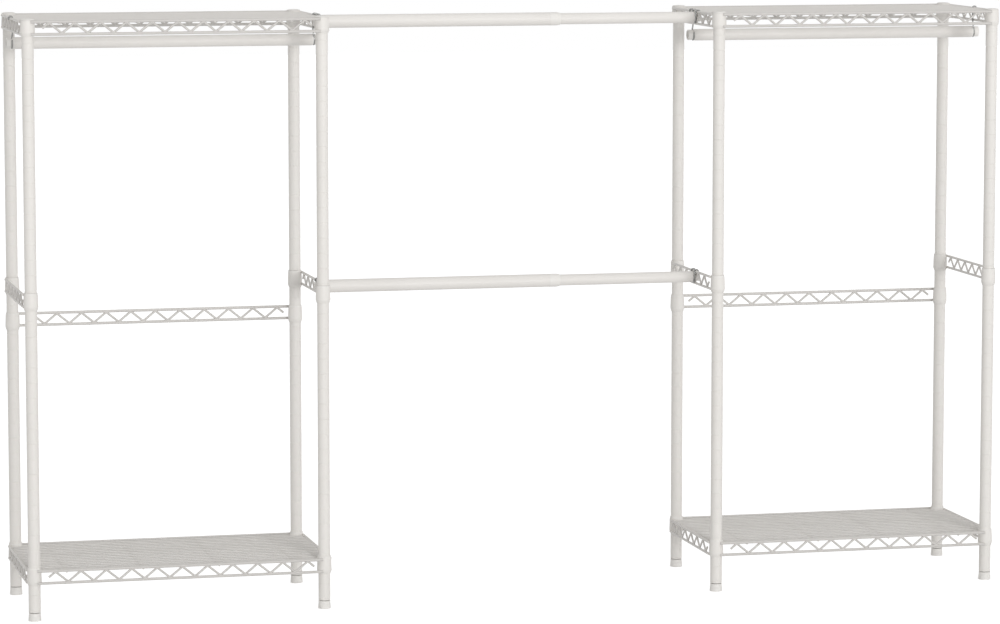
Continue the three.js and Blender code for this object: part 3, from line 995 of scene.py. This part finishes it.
class Tower:
    """Where the posts, the middle and the chords of one tower stand."""

    def __init__(self, side):
        self.posts = {
            (row, column): axis_of(f"{side}_{row}_{column}_lower_post")
            for row in ROWS
            for column in COLUMNS
        }
        self.middle = (self.posts["front", "outer"] + self.posts["back", "inner"]) / 2
        self.chord_x = {}
        for column in COLUMNS:
            x = self.posts["front", column].x
            self.chord_x[column] = x + math.copysign(TRUSS_OFFSET, x - self.middle.x)
        # Long chords reach as far out as the solids' do.
        back_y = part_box("left_back_ladder")[1].y - LONG_CHORD_RADIUS
        self.chord_y = {"front": -back_y, "back": back_y}

    def collar_places(self, node, rows, columns):
        """Where the bottoms of a shelf's or ladder's collars are."""
        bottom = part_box(node)[0].z
        corners = [self.posts[row, column] for row in rows for column in columns]
        return [(post.x, post.y, bottom) for post in corners]

    def frame_parts(self, node, rows, columns, lift, wirework, long_truss):
        """The collars and trusses of a shelf or ladder that reaches these rows and columns of posts.

        A long truss joins a row of which both posts are reached, and a short truss a column."""
        parts = [(wirework["collar"], at(*place)) for place in self.collar_places(node, rows, columns)]
        truss_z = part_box(node)[0].z + lift + CHORD_SPACING / 2
        if columns == COLUMNS:
            for row in rows:
                parts.append((long_truss, at(self.middle.x, self.chord_y[row], truss_z)))
        if rows == ROWS:
            for column in columns:
                place = at(self.chord_x[column], self.middle.y, truss_z, -math.pi / 2)
                parts.append((wirework["short truss"], place))
        return parts


def dress_tower(side, wirework, collar_height):
    tower = Tower(side)
    middle = tower.middle
    for level in ("top", "bottom"):
        node = f"{side}_{level}_shelf"
        deck_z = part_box(node)[0].z + SHELF_CHORD_LIFT + CHORD_SPACING
        support_z = deck_z - DECK_WIRE_RADIUS - SUPPORT_RADIUS
        dress(node, [
            *tower.frame_parts(node, ROWS, COLUMNS, SHELF_CHORD_LIFT, wirework, wirework["shelf truss"]),
            (wirework["deck"], at(middle.x, middle.y, deck_z)),
            (wirework["edge wires"], at(middle.x, middle.y, deck_z)),
            (wirework["supports"], at(middle.x, middle.y, support_z)),
        ], wire_coat_and_painted_shade)

    # Each ladder, with the rows and the columns of posts that it reaches
    ladders = [(f"{side}_back_ladder", ("back",), COLUMNS)]
    ladders += [(f"{side}_{column}_side_ladder", ROWS, (column,)) for column in COLUMNS]
    for node, rows, columns in ladders:
        parts = tower.frame_parts(
            node, rows, columns, LADDER_CHORD_LIFT, wirework, wirework["ladder truss"])
        dress(node, parts, wire_coat_and_painted_shade)

    sleeves = []
    for node, rows, columns in [(f"{side}_bottom_shelf", ROWS, COLUMNS), *ladders]:
        sleeves += tower.collar_places(node, rows, columns)
    make_sleeves(side, sleeves, collar_height)


def make_sleeves(side, places, collar_height):
    """Two half sleeves at each of these collars, of which the lips stand above it."""
    gap = math.asin(SLEEVE_SLIT / 2 / SLEEVE_RADIUS)
    outline = softened([
        (SLEEVE_BORE, collar_height - SLEEVE_SUNK, 0),
        (SLEEVE_RADIUS, collar_height - SLEEVE_SUNK, 0),
        (SLEEVE_RADIUS, collar_height + SLEEVE_LIP, SLEEVE_OUTER_EDGE),
        (SLEEVE_BORE, collar_height + SLEEVE_LIP, SLEEVE_INNER_EDGE),
    ])
    half = turned(outline, POST_SIDES // 2, loop=True, start=gap, sweep=math.pi - 2 * gap)
    parts = []
    for place in places:
        parts += [(half, at(*place)), (half, at(*place, math.pi))]
    make_piece(f"{side}_collar_sleeves", parts, trim_plastic, f"{side}_tower")


def dress_towers():
    low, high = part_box("left_top_shelf")
    collar_height = high.z - low.z
    outer = axis_of("left_front_outer_lower_post")
    inner = axis_of("left_back_inner_lower_post")
    wirework = grow_wirework(inner.x - outer.x, inner.y - outer.y)
    wirework["collar"] = collar_mesh(collar_height)
    for side in SIDES:
        dress_tower(side, wirework, collar_height)


# Rods and hooks

def along_x(mesh):
    mesh.transform(Matrix.Rotation(math.pi / 2, 4, "Y"))
    return mesh


def tube_mesh(radius, start, end, seat=None):
    """A tube along X. From a seat on, it is drawn in for the end ring."""
    bore = radius - ROD_WALL
    corners = [(bore, start, 0), (radius, start, ROD_EDGE)]
    if seat is None:
        corners += [(radius, end, ROD_EDGE), (bore, end, 0)]
    else:
        drawn_bore = RING_SEAT_RADIUS - ROD_WALL
        bore_step = seat - 2 * ROD_WALL
        corners += [
            (radius, seat, 0),
            (RING_SEAT_RADIUS, seat, 0),
            (RING_SEAT_RADIUS, end, ROD_EDGE),
            (drawn_bore, end, 0),
            (drawn_bore, bore_step, 0),
            (bore, bore_step, 0),
        ]
    return along_x(turned(softened(corners), loop=True))


def plug_mesh(radius, end):
    """The moulded end of a rod of this radius, pointing along +X, with its chord at the origin."""
    fit = radius - ROD_WALL - PLUG_SLACK
    collar_radius = radius - PLUG_COLLAR_STEP
    tip = end["shoulder"] - PLUG_DEPTH
    recess = end["knob"] - end["recess depth"]
    outline = [
        (0, tip, 0),
        (fit, tip, PLUG_TIP_EDGE),
        (fit, end["shoulder"], 0),
        (collar_radius, end["shoulder"], PLUG_SHOULDER_EDGE),
        (collar_radius, end["collar"], PLUG_COLLAR_EDGE),
        (end["seat radius"], end["collar"], PLUG_SEAT_EDGE),
        (end["seat radius"], end["seat"], PLUG_SEAT_EDGE),
        (end["neck radius"], end["seat"], PLUG_NECK_EDGE),
        (end["neck radius"], end["neck"], PLUG_NECK_EDGE),
        (end["knob radius"], end["neck"], KNOB_INNER_EDGE),
        (end["knob radius"], end["knob"], KNOB_OUTER_EDGE),
        (end["recess radius"], end["knob"], RECESS_RIM_EDGE),
        (end["recess radius"], recess, RECESS_FLOOR_EDGE),
        (0, recess, 0),
    ]
    # A rod end with no neck has the same corner three times over.
    corners = outline[:1]
    for corner in outline[1:]:
        if corner[:2] != corners[-1][:2]:
            corners.append(corner)
    return along_x(turned(softened(corners)))


def crook(y):
    """The bend of a hook over a chord along Y through the origin, from its tip to the rod's side."""
    over_z = CHORD_RADIUS + HOOK_CHORD_CLEARANCE + HOOK_WIRE_RADIUS
    return [(-HOOK_REACH, y, -HOOK_TIP_DROP), (-HOOK_REACH, y, over_z), (HOOK_REACH, y, over_z)]


def saddle(end, reach, drop):
    """The half ring of a hook under a rod's seat, from the +Y side to the -Y side."""
    radius = end["seat radius"] + HOOK_SEAT_CLEARANCE + HOOK_WIRE_RADIUS
    ring = []
    for step in range(SADDLE_STEPS + 1):
        angle = math.pi * step / SADDLE_STEPS
        ring.append((reach, radius * math.cos(angle), -drop - radius * math.sin(angle)))
    return ring


def grow_hooks():
    """The hooks of a tower rod and of a telescopic rod, each over a chord at the origin."""
    tree = build_bent_wire_tree()
    low_saddle = saddle(TOWER_END, TOWER_SADDLE_REACH, TOWER_ROD_DROP)
    high_saddle = saddle(CENTRE_END, HOOK_REACH, CENTRE_ROD_DROP)
    spread = high_saddle[0][1]
    # The tower rod's leg runs straight past the lower chord, then leans in under it.
    leg_drop = CHORD_SPACING + CHORD_RADIUS + HOOK_BEND
    leg_y = TOWER_CROOK_Y + (low_saddle[0][1] - TOWER_CROOK_Y) * leg_drop / TOWER_ROD_DROP
    free_end = (TOWER_SADDLE_REACH, low_saddle[-1][1], TOWER_HOOK_RISE - TOWER_ROD_DROP)
    tower_path = [*crook(TOWER_CROOK_Y), (HOOK_REACH, leg_y, -leg_drop), *low_saddle, free_end]
    centre_path = [*crook(spread), *high_saddle, *reversed(crook(-spread))]
    return [grow(tree, {"Material": hook_zinc_and_painted_shade}, path_mesh(path)) for path in (tower_path, centre_path)]


def dress_tower_rod(side, hook):
    """Dresses a tower's rod and its hooks. Gives the rod's placed end plugs."""
    node = f"{side}_tower_rod"
    low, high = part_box(node)
    rod = (low + high) / 2
    radius = (high.z - low.z) / 2
    chord = (high.x - low.x) / 2 - TOWER_END["knob"]
    tube_end = chord + TOWER_END["shoulder"]
    dress(node, [(tube_mesh(radius, -tube_end, tube_end), at(*rod))], rod_coat)
    plug = plug_mesh(radius, TOWER_END)
    plugs = []
    for column in COLUMNS:
        end = OUTWARD[side] if column == "outer" else -OUTWARD[side]
        chord_x = rod.x + end * chord
        turn = 0.0 if end > 0 else math.pi
        plugs.append((plug, at(chord_x, rod.y, rod.z, turn)))
        place = at(chord_x, rod.y, rod.z + TOWER_ROD_DROP, math.pi - turn)
        dress(f"{side}_{column}_tower_rod_hook", [(hook, place)], hook_zinc_and_painted_shade)
    return plugs


def dress_centre_tube(side, level, hook):
    """Dresses one half of a telescopic rod and its hook. Gives its placed end plug."""
    kind = "outer" if side == "left" else "inner"
    node = f"{level}_centre_{kind}_tube"
    low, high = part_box(node)
    tube = (low + high) / 2
    radius = (high.z - low.z) / 2
    end_x = low.x if side == "left" else high.x
    chord_x = end_x - OUTWARD[side] * CENTRE_END["knob"]
    shoulder_x = chord_x + OUTWARD[side] * CENTRE_END["shoulder"]
    turn = math.pi if side == "left" else 0.0
    if side == "left":
        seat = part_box(f"{level}_centre_end_ring")[0].x
        steel = tube_mesh(radius, shoulder_x, high.x, seat)
    else:
        steel = tube_mesh(radius, low.x, shoulder_x)
    dress(node, [(steel, at(0, tube.y, tube.z))], rod_coat)
    place = at(chord_x, tube.y, tube.z + CENTRE_ROD_DROP, math.pi - turn)
    dress(f"{side}_{level}_centre_hook", [(hook, place)], hook_zinc_and_painted_shade)
    return plug_mesh(radius, CENTRE_END), at(chord_x, tube.y, tube.z, turn)


def dress_rods_and_hooks():
    tower_hook, centre_hook = grow_hooks()
    for side in SIDES:
        plugs = dress_tower_rod(side, tower_hook)
        plugs += [dress_centre_tube(side, level, centre_hook) for level in LEVELS]
        make_piece(f"{side}_rod_plugs", plugs, trim_plastic, f"{side}_tower")


def dress_end_rings():
    for level in LEVELS:
        tube_low, tube_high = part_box(f"{level}_centre_inner_tube")
        narrow_bore = (tube_high.z - tube_low.z) / 2 + SLIP_GAP
        node = f"{level}_centre_end_ring"
        low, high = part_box(node)
        centre = (low + high) / 2
        radius = (high.z - low.z) / 2
        wide_bore = RING_SEAT_RADIUS + SLIP_GAP
        ring = along_x(turned(softened([
            (wide_bore, low.x, 0),
            (radius, low.x, RING_EDGE),
            (radius, high.x - RING_TAPER, RING_TAPER_ROUNDING),
            (narrow_bore + RING_NOSE, high.x, RING_NOSE_ROUNDING),
            (narrow_bore, high.x, 0),
            (narrow_bore, high.x - RING_LIP, 0),
            (wide_bore, high.x - RING_LIP, 0),
        ]), loop=True))
        dress(node, [(ring, at(0, centre.y, centre.z))], trim_plastic)


dress_posts()
dress_feet_and_caps()
dress_towers()
dress_rods_and_hooks()
dress_end_rings()


# Studio

def white_to_the_eye(sheet):
    """1 for camera, glossy and transmission rays, else 0."""
    rays = sheet.tree.nodes.new("ShaderNodeLightPath")
    camera, glossy, through = (
        Wire(sheet, rays.outputs[name])
        for name in ("Is Camera Ray", "Is Glossy Ray", "Is Transmission Ray")
    )
    return camera.math("MAXIMUM", glossy).math("MAXIMUM", through)


def build_world():
    """A plain white world, at full strength where it is seen and at less where it lights."""
    world = bpy.data.worlds.new("studio")
    world.use_nodes = True
    bpy.context.scene.world = world
    sheet = Sheet(world.node_tree)
    background = world.node_tree.nodes["Background"]
    background.inputs["Color"].default_value = WHITE
    seen = white_to_the_eye(sheet)
    sheet.feed(background.inputs["Strength"], seen * (1 - WORLD_STRENGTH) + WORLD_STRENGTH)


def build_floor():
    """A pale floor that glows where it is seen, so that it goes white around the shadows."""
    half = FLOOR_SIZE / 2
    corners = [(-half, -half, 0), (half, -half, 0), (half, half, 0), (-half, half, 0)]
    mesh = bpy.data.meshes.new("floor")
    mesh.from_pydata(corners, [], [(0, 1, 2, 3)])
    floor = bpy.data.objects.new("floor", mesh)
    bpy.context.scene.collection.objects.link(floor)
    material, sheet, shader = start_material("pale_floor")
    shader.inputs["Base Color"].default_value = FLOOR_COLOUR
    shader.inputs["Roughness"].default_value = 1
    shader.inputs["Specular IOR Level"].default_value = 0
    shader.inputs["Emission Color"].default_value = WHITE
    sheet.feed(shader.inputs["Emission Strength"], white_to_the_eye(sheet) * FLOOR_GLOW)
    mesh.materials.append(material)


def add_sun(name, strength, azimuth, elevation, spread):
    """A soft lamp. Azimuth 0 shines from the front, and 90 from the right."""
    data = bpy.data.lights.new(name, "SUN")
    data.energy = strength
    data.angle = math.radians(spread)
    lamp = bpy.data.objects.new(name, data)
    bpy.context.scene.collection.objects.link(lamp)
    side = math.radians(azimuth)
    lift = math.radians(elevation)
    toward = Vector((math.sin(side) * math.cos(lift), -math.cos(side) * math.cos(lift), math.sin(lift)))
    lamp.rotation_euler = toward.to_track_quat("Z", "Y").to_euler()


def add_camera():
    data = bpy.data.cameras.new("camera")
    data.lens = CAMERA_LENS
    data.sensor_width = CAMERA_SENSOR
    data.clip_end = CAMERA_RANGE
    camera = bpy.data.objects.new("camera", data)
    bpy.context.scene.collection.objects.link(camera)
    camera.location = CAMERA_PLACE
    camera.rotation_euler = (math.radians(90 - CAMERA_PITCH), 0, math.radians(-CAMERA_YAW))
    bpy.context.scene.camera = camera


add_camera()
build_world()
build_floor()
add_sun("key", strength=1.49, azimuth=8, elevation=3, spread=20)
add_sun("top", strength=0.28, azimuth=20, elevation=75, spread=40)
bpy.context.scene.view_settings.view_transform = "Standard"
